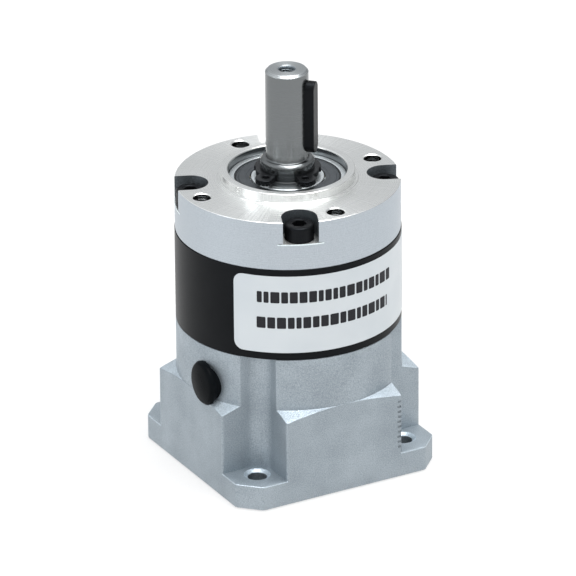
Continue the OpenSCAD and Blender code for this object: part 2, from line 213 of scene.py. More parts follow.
def prism(name, outline, z0, z1, edge, mats, smooth=35, at=None, seg=3, holes=()):
    """A plate with rounded edges. holes are outlines too, counter-clockwise like the outside."""
    steps = [(edge * (1 - math.sin(t)), edge * (1 - math.cos(t)))
             for t in np.linspace(0, math.pi / 2, seg + 1)]
    levels = [(d, z0 + h) for d, h in steps] + [(d, z1 - h) for d, h in steps[::-1]]
    if edge == 0:
        levels = [(0, z0), (0, z1)]
    bm = bmesh.new()
    caps = ([], [])
    for k, line in enumerate([outline, *holes]):
        n = len(line)
        sign = 1 if k == 0 else -1
        loops = []
        for d, z in levels:
            q = inset(line, sign * d)
            loops.append([bm.verts.new((x, y, z)) for x, y in q])
        for lo, hi in zip(loops, loops[1:]):
            for i in range(n):
                f = (lo[i], lo[(i + 1) % n], hi[(i + 1) % n], hi[i])
                bm.faces.new(f if sign > 0 else f[::-1])
        for cap, loop in ((0, loops[0]), (1, loops[-1])):
            for i in range(n):
                e = bm.edges.get((loop[i], loop[(i + 1) % n]))
                caps[cap].append(e)
    for cap in caps:
        bmesh.ops.triangle_fill(bm, use_beauty=True, use_dissolve=False, edges=cap)
    bmesh.ops.recalc_face_normals(bm, faces=bm.faces)
    me = bpy.data.meshes.new(name)
    m = Matrix.Scale(MM, 4) @ (at if at is not None else Matrix.Identity(4))
    bm.transform(m)
    bmesh.ops.recalc_face_normals(bm, faces=bm.faces)
    bm.to_mesh(me)
    bm.free()
    ob = bpy.data.objects.new(name, me)
    scene.collection.objects.link(ob)
    me.materials.append(mats)
    shade(ob, smooth)
    return ob


def cut(ob, cutters):
    for c in cutters:
        apply(ob, "BOOLEAN", operation="DIFFERENCE", object=c, solver="EXACT")
        bpy.data.objects.remove(c)
    return ob


def soften(ob, width, angle=40, seg=2):
    bm = bmesh.new()
    bm.from_mesh(ob.data)
    bmesh.ops.remove_doubles(bm, verts=bm.verts, dist=2e-6)
    bmesh.ops.dissolve_limit(bm, angle_limit=math.radians(0.05), verts=bm.verts, edges=bm.edges)
    bm.to_mesh(ob.data)
    bm.free()
    apply(ob, "BEVEL", width=width * MM, segments=seg, limit_method="ANGLE",
          angle_limit=math.radians(angle), use_clamp_overlap=True, miter_outer="MITER_ARC")
    return ob


def place(x=0, y=0, z=0, spin=0, axis="Z"):
    return Matrix.Translation((x, y, z)) @ Matrix.Rotation(math.radians(spin), 4, axis)


def join(name, obs):
    """One object out of several that have one material or the same slots."""
    bm = bmesh.new()
    slots = []
    for o in obs:
        me = o.data
        first = len(bm.faces)
        bm.from_mesh(me)
        bm.faces.ensure_lookup_table()
        for m in me.materials:
            if m not in slots:
                slots.append(m)
        remap = [slots.index(m) for m in me.materials]
        for f in bm.faces[first:]:
            f.material_index = remap[f.material_index]
    me = bpy.data.meshes.new(name)
    bm.to_mesh(me)
    bm.free()
    ob = bpy.data.objects.new(name, me)
    scene.collection.objects.link(ob)
    for m in slots:
        me.materials.append(m)
    for o in obs:
        bpy.data.objects.remove(o)
    shade(ob, 35)
    return ob


def arc(r, a, b, n, x=0):
    """n points from angle a to b round (x, 0)."""
    return [(x + r * math.cos(t), r * math.sin(t)) for t in np.linspace(a, b, n)]


def circle(r, n, x=0, y=0):
    return [(x + r * math.cos(TAU * i / n), y + r * math.sin(TAU * i / n)) for i in range(n)]


def done(ob, body, node=None):
    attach(ob, body)
    if node:
        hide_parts(*(node if isinstance(node, (list, tuple)) else [node]))
    return ob


# ---------- materials ----------

class Mat:
    """A node material built by short calls. Sizes of features are in millimetres."""

    def __init__(self, name, rough=0.4, metal=1.0, **sockets):
        self.m = bpy.data.materials.new(name)
        self.m.use_nodes = True
        self.t = self.m.node_tree
        self.b = self.t.nodes["Principled BSDF"]
        self.b.inputs["Metallic"].default_value = metal
        self.b.inputs["Roughness"].default_value = rough
        for k, v in sockets.items():
            self.b.inputs[k.replace("_", " ")].default_value = v
        self.co = self.node("ShaderNodeTexCoord").outputs["Object"]

    def node(self, kind, **kw):
        n = self.t.nodes.new(kind)
        for k, v in kw.items():
            setattr(n, k, v)
        return n

    def link(self, a, b):
        self.t.links.new(a, b)

    def maths(self, op, a, b=0.0, c=None):
        n = self.node("ShaderNodeMath", operation=op)
        for i, v in enumerate((a, b) if c is None else (a, b, c)):
            if isinstance(v, (int, float)):
                n.inputs[i].default_value = v
            else:
                self.link(v, n.inputs[i])
        return n.outputs[0]

    def vmaths(self, op, a, b=(0, 0, 0)):
        n = self.node("ShaderNodeVectorMath", operation=op)
        for i, v in enumerate((a, b)):
            if isinstance(v, tuple):
                n.inputs[i].default_value = v
            else:
                self.link(v, n.inputs[i])
        return n.outputs[1] if op in ("LENGTH", "DOT_PRODUCT") else n.outputs[0]

    def xyz(self, v):
        n = self.node("ShaderNodeSeparateXYZ")
        self.link(v, n.inputs[0])
        return n.outputs

    def noise(self, size, detail=3, rough=0.6, vec=None, distort=0.0):
        n = self.node("ShaderNodeTexNoise")
        n.inputs["Scale"].default_value = 1 / (size * MM)
        n.inputs["Detail"].default_value = detail
        n.inputs["Roughness"].default_value = rough
        n.inputs["Distortion"].default_value = distort
        self.link(vec or self.co, n.inputs["Vector"])
        return n.outputs["Fac"]

    def cells(self, size, vec=None, feature="F1"):
        n = self.node("ShaderNodeTexVoronoi", feature=feature)
        n.inputs["Scale"].default_value = 1 / (size * MM)
        self.link(vec or self.co, n.inputs["Vector"])
        return n.outputs["Distance"]

    def ramp(self, fac, stops):
        n = self.node("ShaderNodeValToRGB")
        e = n.color_ramp.elements
        while len(e) < len(stops):
            e.new(0.5)
        for k, (p, c) in zip(e, stops):
            k.position = p
            k.color = (c, c, c, 1) if isinstance(c, (int, float)) else (*c, 1)
        self.link(fac, n.inputs["Fac"])
        return n.outputs["Color"]

    def range(self, fac, a, b, c, d):
        n = self.node("ShaderNodeMapRange")
        for i, v in enumerate((a, b, c, d)):
            n.inputs[i + 1].default_value = v
        self.link(fac, n.inputs[0])
        return n.outputs[0]

    def colour(self, c):
        if isinstance(c, tuple):
            self.b.inputs["Base Color"].default_value = (*c, 1)
        else:
            self.link(c, self.b.inputs["Base Color"])
        return self

    def rough(self, r):
        self.link(r, self.b.inputs["Roughness"])
        return self

    def bump(self, *pairs):
        """Heights in millimetres: (field, height), from coarse to fine."""
        last = None
        for field, height in pairs:
            n = self.node("ShaderNodeBump")
            n.inputs["Strength"].default_value = 1.0
            n.inputs["Distance"].default_value = height * MM
            self.link(field, n.inputs["Height"])
            if last:
                self.link(last, n.inputs["Normal"])
            last = n.outputs["Normal"]
        self.link(last, self.b.inputs["Normal"])
        return self

    def radial(self, centre=(0, 0, 0)):
        """Tangent round the Z axis through centre, for turned faces."""
        p = self.vmaths("SUBTRACT", self.co, tuple(c * MM for c in centre))
        t = self.vmaths("CROSS_PRODUCT", p, (0, 0, 1))
        t = self.vmaths("NORMALIZE", t)
        self.link(t, self.b.inputs["Tangent"])
        self.b.inputs["Anisotropic Rotation"].default_value = 0.25
        return self


def radius_mm(k):
    x, y = k.xyz(k.co)[:2]
    square = k.maths("ADD", k.maths("MULTIPLY", x, x), k.maths("MULTIPLY", y, y))
    return k.maths("MULTIPLY", k.maths("SQRT", square), 1 / MM)


def height_mm(k):
    return k.maths("MULTIPLY", k.xyz(k.co)[2], 1 / MM)


def cast_alu(name="blasted_casting", gain=1.0, rough=0.55, metal=0.93, grain=1.0):
    """Fine blasted casting: grain in the colour, the roughness and the surface."""
    k = Mat(name, rough, metal)
    fine = k.noise(0.2, 3, 0.65)
    grit = k.cells(0.34)
    wide = k.noise(7.0, 3, 0.55)
    tone = k.maths("ADD", k.maths("MULTIPLY", wide, 0.3), k.maths("MULTIPLY", fine, 0.7))
    steps = [(0.32, (0.25, 0.29, 0.322)), (0.5, (0.365, 0.412, 0.448)),
             (0.68, (0.505, 0.558, 0.598))]
    k.colour(k.ramp(tone, [(q, tuple(min(0.95, c * gain) for c in rgb)) for q, rgb in steps]))
    k.rough(k.range(k.noise(0.35, 3), 0.3, 0.7, rough - 0.08, rough + 0.08))
    k.bump((grit, 0.022 * grain), (fine, 0.035 * grain))
    return k.m


def angle_turns(k):
    x, y = k.xyz(k.co)[:2]
    return k.maths("DIVIDE", k.maths("ARCTAN2", y, x), TAU)


def line_noise(k, w, per_unit, detail=4):
    n = k.node("ShaderNodeTexNoise", noise_dimensions="1D")
    k.link(k.maths("MULTIPLY", w, per_unit), n.inputs["W"])
    n.inputs["Scale"].default_value = 1.0
    n.inputs["Detail"].default_value = detail
    return n.outputs["Fac"]


def turned_alu():
    """Bright faced front: fine concentric tool marks, and radial streaks in the colour that are partly tool
    marks and partly painted highlight streaks.
    """
    k = Mat("turned_aluminium", 0.3, 1.0, Anisotropic=0.65)
    rings = line_noise(k, radius_mm(k), 9.0)
    spoke_marks_and_sheen = line_noise(k, angle_turns(k), 300.0, 2)
    cloud = k.noise(4.0, 3)
    # half the colour tone comes from the radial streaks: partly tool marks, partly painted highlight
    # streaks
    tone = k.maths("ADD", k.maths("MULTIPLY", rings, 0.3), k.maths("MULTIPLY", spoke_marks_and_sheen, 0.5))
    tone = k.maths("ADD", tone, k.maths("MULTIPLY", cloud, 0.2))
    k.colour(k.ramp(tone, [(0.32, (0.78, 0.79, 0.775)), (0.68, (0.97, 0.975, 0.965))]))
    k.rough(k.range(rings, 0.3, 0.7, 0.24, 0.36))
    k.bump((rings, 0.0022), (spoke_marks_and_sheen, 0.0016))
    k.radial()
    return k.m


def side_alu():
    """Turned then fine-blasted side of the flange."""
    k = Mat("satin_aluminium", 0.4, 1.0, Anisotropic=0.2)
    lines = line_noise(k, height_mm(k), 6.0)
    fine = k.noise(0.2, 3, 0.7)
    tone = k.maths("ADD", k.maths("MULTIPLY", lines, 0.25), k.maths("MULTIPLY", fine, 0.75))
    k.colour(k.ramp(tone, [(0.3, (0.385, 0.43, 0.47)), (0.7, (0.575, 0.62, 0.66))]))
    k.rough(k.range(fine, 0.3, 0.7, 0.36, 0.5))
    k.bump((lines, 0.002), (fine, 0.012))
    k.radial()
    return k.m


def black_oxide(name="black_oxide", tone=0.005, rough=0.34, grain=0.2, shine=0.18):
    k = Mat(name, rough, 0.0, Specular_IOR_Level=shine, IOR=1.35, Specular_Tint=(0.8, 0.9, 1.0, 1))
    fine = k.noise(grain, 4, 0.65)
    wide = k.noise(5.0, 3)
    k.colour(k.ramp(wide, [(0.3, (tone * 0.8, tone * 0.82, tone * 0.9)),
                           (0.7, (tone * 1.2, tone * 1.22, tone * 1.35))]))
    k.rough(k.range(fine, 0.3, 0.7, rough - 0.05, rough + 0.09))
    k.bump((fine, 0.004))
    return k.m


def steel(name, light=0.42, rough=0.25, aniso=0.4, axis="z", marks=8.0, spread=0.1, height=0.0012):
    """Ground or polished steel; the fine lines run round the Z axis."""
    k = Mat(name, rough, 1.0, Anisotropic=aniso)
    h = height_mm(k) if axis == "z" else radius_mm(k)
    f = line_noise(k, h, marks)
    spot = k.noise(1.6, 4, 0.6)
    lo, hi = light * (1 - spread), light * (1 + spread)
    tone = k.maths("ADD", k.maths("MULTIPLY", f, 0.75), k.maths("MULTIPLY", spot, 0.25))
    k.colour(k.ramp(tone,
                    [(0.3, (lo * 0.95, lo, lo * 1.02)), (0.7, (hi * 0.95, hi, hi * 1.02))]))
    k.rough(k.range(f, 0.3, 0.7, rough * 0.8, rough * 1.25))
    k.bump((f, height))
    k.radial()
    return k.m


def rubber(name="seal_rubber", tone=(0.036, 0.041, 0.046), rough=0.5, grain=0.25, height=0.006,
           shine=0.4, ior=1.45):
    k = Mat(name, rough, 0.0, Specular_IOR_Level=shine, IOR=ior)
    fine = k.noise(grain, 4, 0.6)
    wide = k.noise(2.5, 3)
    k.colour(k.ramp(wide, [(0.3, tuple(c * 0.82 for c in tone)), (0.7, tuple(c * 1.2 for c in tone))]))
    k.rough(k.range(fine, 0.3, 0.7, rough - 0.07, rough + 0.08))
    k.bump((fine, height))
    return k.m


def film():
    k = Mat("label_film", 0.42, 0.0, Coat_Weight=0.15, Coat_Roughness=0.3)
    fibre = k.noise(0.35, 4, 0.7)
    wide = k.noise(9.0, 2)
    k.colour(k.ramp(wide, [(0.3, (0.56, 0.60, 0.625)), (0.7, (0.605, 0.64, 0.66))]))
    k.rough(k.range(fibre, 0.3, 0.7, 0.36, 0.5))
    k.bump((fibre, 0.0015))
    return k.m


def ink():
    k = Mat("label_ink", 0.5, 0.0, Specular_IOR_Level=0.2)
    edge = k.noise(0.2, 4, 0.7)
    k.colour(k.ramp(edge, [(0.25, (0.010, 0.010, 0.013)), (0.75, (0.022, 0.022, 0.026))]))
    k.bump((edge, 0.001))
    return k.m


def brass(name, tone):
    k = Mat(name, 0.35, 1.0)
    f = k.noise(0.4, 4, 0.6)
    k.colour(k.ramp(f, [(0.3, tuple(c * 0.85 for c in tone)),
                        (0.7, tuple(min(1, c * 1.1) for c in tone))]))
    k.rough(k.range(f, 0.3, 0.7, 0.28, 0.45))
    k.bump((f, 0.003))
    return k.m


M_CAST = cast_alu()
# lighter copy of the casting with coarser grain for the up-facing cone facets: the coarser grain is
# texture, the extra brightness is painted light from above
M_FACET_LIT = cast_alu("cone_facets_painted_light", 1.3, 0.62, 0.8, 2.2)
# much lighter copy of the casting for the hole chamfers and the base rim bevel: painted edge highlight
M_EDGE_HIGHLIGHT = cast_alu("painted_edge_highlight", 1.5, 0.5, 0.85, 0.6)
# darker copy of the casting for hole walls, also used in the shaft's tapped hole: painted shade inside
# holes
M_HOLE_SHADE = cast_alu("hole_wall_painted_shade", 0.62, 0.5, 0.9, 0.3)
# dark copy of the casting for the slot walls of the flange: painted shade in the slots
M_POCKET_SHADE = cast_alu("pocket_wall_painted_shade", 0.42, 0.5, 0.9, 0.4)
# very light copy of the casting for thin strips at the slot floors: painted highlight line
M_LIP_HIGHLIGHT = cast_alu("lip_painted_highlight", 2.3, 0.45, 0.6, 0.3)
M_TOP = turned_alu()
M_SIDE = side_alu()
M_RING = black_oxide()
M_SCREW = black_oxide("black_screw", 0.005, 0.3, 0.2, 0.22)
M_CLIP = black_oxide("black_spring_steel", 0.006, 0.24, 0.12, 0.4)
M_KEY = black_oxide("black_key", 0.004, 0.32, 0.15, 0.2)
M_SHAFT = steel("ground_shaft", 0.19, 0.22, aniso=0.25, marks=14.0, spread=0.04, height=0.0003)
# lighter steel for the shaft's end face and chamfer: the radial turning marks are texture, the lighter tone
# is painted light from above
M_END_LIT = steel("shaft_end_face_painted_light", 0.46, 0.34, aniso=0.5, axis="r", marks=9.0)
M_GEAR = steel("gear_steel", 0.36, 0.3)
M_RACE = steel("bearing_steel", 0.8, 0.38, aniso=0.2, axis="r", marks=14.0)
# very dark steel for the shim under the retaining ring: painted shade in the gap between the clip lugs
M_SHIM_SHADE = steel("shim_painted_shade", 0.10, 0.3, aniso=0.2, axis="r")
M_SEAL = rubber()
# near-black rubber for a ring in the gap between seal and outer race: painted shade
M_GAP_SHADE = rubber("gap_painted_shade", (0.006, 0.006, 0.007), 0.7)
M_PLUG = rubber("plug_plastic", (0.004, 0.005, 0.006), 0.32, 0.4, 0.002, shine=0.2, ior=1.15)
M_FILM = film()
M_INK = ink()
M_CAGE = brass("cage_brass", (0.66, 0.5, 0.24))
M_WASHER = brass("washer_bronze", (0.55, 0.4, 0.2))
# dark steel for bores, hole walls and threads in the aluminium parts: painted shade inside them
M_BORE_SHADE = steel("bore_alu_painted_shade", 0.22, 0.2, aniso=0.2)


# ---------- motor adapter: one shell built column by column round the axis ----------

def smin(a, b, k):
    h = max(k - abs(a - b), 0.0) / k
    return min(a, b) - h * h * k / 4


POCKET_C, POCKET_R = 15.5, 3.3
WALL = POCKET_C - POCKET_R
BASE_T, CONE_Z, SLOPE = 4.8, 17.7, 0.375
PLUG_HEAD = 1.62


def block_r(t):
    """Distance to the notched square at angle t, 0 to 45 degrees."""
    if t < math.atan2(WALL, POCKET_C):
        return smin(HALF / math.cos(t), WALL / math.sin(t) if t > 0.05 else 1e3, 0.7)
    u = POCKET_C * (math.cos(t) + math.sin(t))
    return u - math.sqrt(max(0, u * u - 2 * POCKET_C ** 2 + POCKET_R ** 2))


def base_r(t):
    return smin(HALF / math.cos(t), (2 * HALF - 3.8) / (math.cos(t) + math.sin(t)), 0.45)


def bezier(a, c, b, n):
    return [tuple((1 - t) ** 2 * a[i] + 2 * t * (1 - t) * c[i] + t * t * b[i] for i in (0, 1))
            for t in np.linspace(0, 1, n)]


def adapter_column(t):
    rb, ri = base_r(t), min(block_r(t), base_r(t))
    e = 0.2
    col = [(rb - 0.25, 0.0), (rb - 0.07, 0.07), (rb, 0.25)]
    rim = bezier((rb, BASE_T - e), (rb, BASE_T), (rb - e, BASE_T), 4)
    col += [(max(r, ri), z) for r, z in rim]
    for f in (0.25, 0.5, 0.75):
        col.append((max(ri, rb - e + (ri - rb + e) * f), BASE_T))
    if ri > BODY:
        span = ri - BODY
        ze = CONE_Z - SLOPE * span
    else:
        ze, span = CONE_Z, 0.0
    rt = smin(ri, BODY, 0.22)
    col.append((ri, BASE_T))
    col += [(ri, BASE_T + 0.3), (ri, BASE_T + 4), (ri, ze - 2.5)]
    d = min(0.16, 0.45 * span)
    col += bezier((ri, ze - d), (ri, ze), (ri - d, ze + SLOPE * d), 5)
    for f in (0.35, 0.65):
        col.append((ri - d - (span - 2 * d) * f, ze + SLOPE * (d + (span - 2 * d) * f)))
    col += bezier((rt + d, CONE_Z - SLOPE * d) if span else (rt, CONE_Z), (rt, CONE_Z), (rt, CONE_Z + d), 5)
    col += [(rt, CONE_Z + 3), (rt, R0 - 0.15), (rt - 0.04, R0 - 0.04), (rt - 0.15, R0)]
    # the inside: spigot, bearing seat, cavity, pilot recess
    col += [(15.5, R0), (15.5, SPIGOT - 0.2), (15.3, SPIGOT), (12.2, SPIGOT), (12.0, SPIGOT - 0.2),
            (12.0, 25.36), (10.5, 25.36), (10.4, 25.26), (10.4, 2.5), (10.5, 2.4), (11.0, 2.4),
            (11.0, 0.25), (11.25, 0.0), (16.5, 0.0)]
    return col


def angles():
    a = [0.0, 2, 4, 6, 9, 12, 15, 18, 20, 22, 24, 26, 27.5, 28.5, 29.0, 29.3]
    a += list(np.arange(29.5, 31.2, 0.12)) + [31.4, 31.8, 32.4, 33, 33.6, 34.2, 34.6, 34.9]
    a += list(np.arange(35.05, 36.05, 0.1)) + [36.2, 36.6, 37.2, 37.8, 38.2, 38.5, 38.8]
    a += list(np.arange(38.95, 39.75, 0.1)) + [39.9, 40.3, 40.8, 41.4, 42, 42.6, 43.2, 43.8, 44.4]
    return a


def build_adapter():
    octant = angles()
    table = [(t, adapter_column(math.radians(t))) for t in octant]
    mid = (45.0, adapter_column(math.radians(45)))
    quad = table + [mid] + [(90 - t, c) for t, c in table[:0:-1]]
    cols = []
    for q in range(4):
        for t, c in quad:
            a = math.radians(t + 90 * q)
            cols.append([(r * math.cos(a), r * math.sin(a), z) for r, z in c])
    m, n = len(cols[0]), len(cols)
    verts = [v for c in cols for v in c]
    faces = []
    for j in range(n):
        k = (j + 1) % n
        for i in range(m):
            faces.append((j * m + i, k * m + i, k * m + (i + 1) % m, j * m + (i + 1) % m))
    ob = make("adapter_casting", verts, faces, [M_CAST, M_BORE_SHADE, M_FACET_LIT, M_EDGE_HIGHLIGHT, M_HOLE_SHADE], 35)
    clean(ob, 2e-6, 1e-7)
    cutters = []
    hole = fillet([(0, -1), (1.75, -1), (1.75, BASE_T - 0.5), (2.3, BASE_T - 0.07),
                   (2.5, BASE_T + 0.001), (2.5, 8), (0, 8)], [0, 0, 0.2, 0.2, 0.05, 0, 0], 3)
    for sx in (-1, 1):
        for sy in (-1, 1):
            cutters.append(revolve("c", hole, M_BORE_SHADE, 64, at=place(sx * POCKET_C, sy * POCKET_C)))
    py, pz = ((PLUG[0][i] + PLUG[1][i]) / 2 / MM for i in (1, 2))
    pr = (PLUG[1].y - PLUG[0].y) / 2 / MM + 0.1
    deep = 30 + PLUG[0].x / MM + PLUG_HEAD
    side = [(0, 0), (pr, 0), (pr, deep), (3.5, deep), (3.5, 24), (0, 24)]
    to_plug = Matrix.Translation((-30, py, pz)) @ Matrix.Rotation(math.pi / 2, 4, "Y")
    cutters.append(revolve("c", side, M_BORE_SHADE, 96, at=to_plug))
    for i in range(10):
        z, x = 6.0 + 1.02 * i, WALL - 0.1 - 0.06 * (i * 7 % 3)
        nick = [(x - 0.8, -HALF - 0.3), (x - 0.05, -HALF - 0.3), (x - 0.05, -HALF + 0.1),
                (x - 0.8, -HALF + 0.03)]
        cutters.append(prism("c", nick, z, z + 0.45, 0.0, M_HOLE_SHADE, seg=1))
    cut(ob, cutters)
    for p in ob.data.polygons:
        c, nz = p.center / MM, p.normal.z
        r = math.hypot(c.x, c.y)
        near = math.hypot(abs(c.x) - POCKET_C, abs(c.y) - POCKET_C)
        turn = math.atan2(abs(c.y), abs(c.x))
        turn = min(turn, math.pi / 2 - turn)
        wide = min(block_r(turn), base_r(turn)) - BODY
        # walls of the bolt holes get the darker copy: painted shade
        if near < 1.95 and c.z < BASE_T - 0.3 and abs(nz) < 0.5:
            p.material_index = 4
        # up-facing chamfers round the bolt holes get the lighter copy: painted edge highlight
        elif near < 2.6 and 0.2 < nz < 0.97 and c.z > BASE_T - 0.6:
            p.material_index = 3
        # up-facing cone facets get the lighter casting copy: painted light from above
        elif wide > 0.35 and r > BODY - 0.1 and 15.0 < c.z < CONE_Z + 0.02 and 0.75 < nz:
            p.material_index = 2
        # up-facing bevel faces along the base rim: painted edge highlight
        elif abs(c.z - BASE_T) < 0.25 and 0.15 < nz < 0.97 and near > 2.6:
            p.material_index = 3
        # inner bore walls of the adapter get the dark bore copy: painted shade
        elif r < 17.5 and c.z < SPIGOT - 2.6 and (c.x > -19 or abs(c.y) < 11) and near > 3.4:
            p.material_index = 1 if abs(nz) < 0.5 else 0
    return weigh(ob, 32)


done(build_adapter(), "housing", "motor_adapter")


# ---------- ring gear ----------

def gear_outline(z, root, tip, start, slack, mod=0.6, steps=6):
    rp = mod * z / 2
    base = rp * math.cos(math.radians(20))
    inv = lambda a: math.tan(a) - a
    low = max(root, base)
    radii = ([root] if root < base else []) + list(np.linspace(low, tip, steps))

    def half(r):
        lean = inv(math.acos(min(1, base / r)))
        return math.pi / 2 / z + inv(math.radians(20)) - lean - slack / rp

    out = []
    for k in range(z):
        c = math.radians(start) + TAU * k / z
        out += [(r * math.cos(c - half(r)), r * math.sin(c - half(r))) for r in radii]
        out += [(r * math.cos(c + half(r)), r * math.sin(c + half(r))) for r in radii[::-1]]
    return out


def build_ring():
    e = 0.16
    z0, z1 = R0 + 0.03, R1 - 0.03
    profile = fillet([(15.52, z0), (BODY, z0), (BODY, z1), (15.52, z1), (15.52, z1 - 2.5),
                      (15.3, z1 - 2.5), (15.3, z0 + 2.5), (15.52, z0 + 2.5)],
                     [0.05, e, e, 0.05, 0, 0, 0, 0], 4)
    shell = revolve("r", profile, M_RING, 256)
    gear = gear_outline(48, 13.9, 15.06, 3.75, -0.022)
    teeth = prism("t", circle(15.3, 192), R0 + 2.55, R1 - 2.55, 0.02, M_RING, holes=[gear])
    return weigh(join("ring_gear_body", [shell, teeth]))


done(build_ring(), "housing", "ring_gear")


# ---------- rating label: film and plain printed blocks, no lettering ----------

def on_ring(r, a, z):
    t = math.radians(a)
    return (r * math.cos(t), r * math.sin(t), z)


def arc_plate(name, a0, a1, z0, z1, r, thick, corner, mats, na=96):
    """A thin rounded rectangle wrapped on the cylinder."""
    to_deg = 180 / math.pi / BODY
    ca = corner * to_deg
    cols = []
    ends = [ca * (1 - math.cos(t)) for t in np.linspace(0, math.pi / 2, 8)]
    for a in sorted({*np.linspace(a0 + ca, a1 - ca, na), *[a0 + e for e in ends], *[a1 - e for e in ends]}):
        d = min(a - a0, a1 - a)
        x = max(0.0, 1 - d / ca) if ca > 0 else 0
        drop = corner * (1 - math.sqrt(max(0, 1 - x * x)))
        cols.append((a, z0 + drop, z1 - drop))
    verts, faces = [], []
    for a, lo, hi in cols:
        verts += [on_ring(q, a, z) for q in (r, r + thick) for z in (lo, hi)]
    for i in range(len(cols) - 1):
        p, q = 4 * i, 4 * (i + 1)
        faces += [(p + 2, q + 2, q + 3, p + 3), (p, p + 1, q + 1, q), (p, q, q + 2, p + 2),
                  (p + 1, p + 3, q + 3, q + 1)]
    e = 4 * (len(cols) - 1)
    faces += [(0, 2, 3, 1), (e, e + 1, e + 3, e + 2)]
    return make(name, verts, faces, mats, 40)


A_FROM, A_TO = -147.4, -11.0
label = arc_plate("label_sheet", A_FROM, A_TO, L0, L1, BODY + 0.001, 0.065, 1.8, M_FILM)
done(label, "housing", "rating_label")


def printed_rows():
    """Two rows of plain blocks, wide and narrow in turn, like greeked print."""
    obs = []
    rng = np.random.default_rng(11)
    for z, first, last in ((40.5, -135.0, -57.5), (35.4, -135.2, -60.0)):
        a = first
        while a < last - 1:
            w = float(rng.choice([2.6, 3.4, 4.0, 4.6]))
            w = min(w, last - a)
            obs.append(arc_plate("p", a, a + w, z - 1.12, z + 1.12, BODY + 0.0662, 0.008, 0.22,
                                 M_INK, 6))
            a += w + 0.85
    return join("label_print", obs)


done(printed_rows(), "housing", None)


# ---------- front flange ----------

def slot_outline(w):
    """A slot open to the outside, w wide on each side of its line."""
    return arc(w, math.pi / 2, 1.5 * math.pi, 25, BOLT_R) + [(BOLT_R + 8, -w), (BOLT_R + 8, w)]


def build_flange():
    top = fillet([(11.0, FACE + 0.2), (11.0, F1), (12.5, F1), (12.5, FACE + 0.28), (13.05, FACE + 0.28),
                  (13.05, FACE), (20.9, FACE), (20.9, R1), (15.5, R1), (15.5, R1 - 2.5), (13.5, R1 - 2.5),
                  (13.5, 45.0), (9.0, 45.0), (9.0, 49.0), (8.2, 49.0), (8.2, B0), (11.0, B0)],
                 [0, 0.28, 0.2, 0.1, 0.12, 0.06, 0.17, 0.12, 0, .1, .1, 0, 0.1, 0, 0.05, 0.05, 0], 4)
    ob = revolve("front_flange_body", top, [M_SIDE, M_TOP, M_BORE_SHADE, M_POCKET_SHADE], 288)
    cutters = []
    for k in range(4):
        turn = place(spin=SLOT_TURN + 90 * k)
        cutters.append(prism("c", slot_outline(3.3), SEAT, 60, 0.0, M_BORE_SHADE, at=turn, seg=1))
        cutters.append(prism("c", slot_outline(4.1), SEAT - 0.001, SEAT + 0.14, 0.0, M_BORE_SHADE, at=turn,
                             seg=1))
        shank = [(0, 40), (1.7, 40), (1.7, SEAT + 0.1), (0, SEAT + 0.1)]
        cutters.append(revolve("c", shank, M_BORE_SHADE, 48, at=turn @ place(BOLT_R)))
        thread = [(0, FACE - 8), (1.65, FACE - 8), (1.65, FACE - 0.2), (1.84, FACE - 0.01),
                  (1.84, FACE + 2), (0, FACE + 2)]
        cutters.append(revolve("c", thread, M_BORE_SHADE, 64, at=place(spin=90 * k) @ place(BOLT_R)))
    cut(ob, cutters)
    soften(ob, 0.09, 50, 2)
    me = ob.data
    for p in me.polygons:
        c, nz = p.center / MM, p.normal.z
        r = math.hypot(c.x, c.y)
        flat_top = nz > 0.5 and c.z > FACE - 0.4
        boss = c.z > FACE + 0.02 and r < 13.3
        p.material_index = 1 if (flat_top or boss) else 0
        hole = min(math.hypot(c.x - x, c.y - y) for x, y in circle(BOLT_R, 4))
        if nz > 0.15 and abs(c.z - SEAT) < 0.2 and r > 12:
            p.material_index = 1
        # slot walls get the dark copy: painted shade
        if 14 < r < 20.6 and SEAT < c.z < FACE - 0.12 and abs(nz) < 0.3 and hole > 2.0:
            p.material_index = 3
        # tapped hole walls, the bore and the underside get the dark bore copy: painted shade
        if hole < 2.0 and nz < 0.9 and c.z < FACE - 0.12:
            p.material_index = 2
        if r < 20.5 and (c.z < SEAT - 0.1 or (c.z < FACE - 0.3 and abs(nz) < 0.5 and r < 11.2)):
            p.material_index = 2
    return weigh(ob, 32)


done(build_flange(), "housing", "front_flange")


def thread_wall(name, r_core, r_out, pitch, z0, z1, mats, at, n=40):
    """A helical internal thread as an open-ended sleeve, groove by groove."""
    turns = (z1 - z0) / pitch
    verts, faces = [], []
    rows = int(turns * n)
    prof = [(r_core, 0.0), (r_core, 0.12), (r_out, 0.46), (r_out, 0.54), (r_core, 0.88)]
    for i in range(rows + 1):
        a = TAU * i / n
        z = z0 + pitch * i / n
        for r, f in prof:
            verts.append((r * math.cos(a), r * math.sin(a), min(z1, z - pitch * (1 - f))))
    m = len(prof)
    for i in range(rows):
        for k in range(m - 1):
            faces.append((i * m + k, (i + 1) * m + k, (i + 1) * m + k + 1, i * m + k + 1))
        if i + n <= rows:
            end = (i + n + 1) * m if i + n + 1 <= rows else (i + n) * m
            faces.append((i * m + m - 1, (i + 1) * m + m - 1, end, (i + n) * m))
    verts = [tuple(at @ Vector(v)) for v in verts]
    return make(name, verts, faces, mats, 30)


# a thin strip at each slot floor carries a painted highlight line
lips = []
for k in range(4):
    mid, half = SLOT_TURN + 90 * k, math.degrees(math.asin(4.3 / 20.9))
    lips.append(arc_plate("l", mid - half, mid + half, SEAT - 0.2, SEAT + 0.03, 20.87, 0.04, 0.06,
                          M_LIP_HIGHLIGHT, 24))
done(join("slot_lip_highlight_strips", lips), "housing", None)

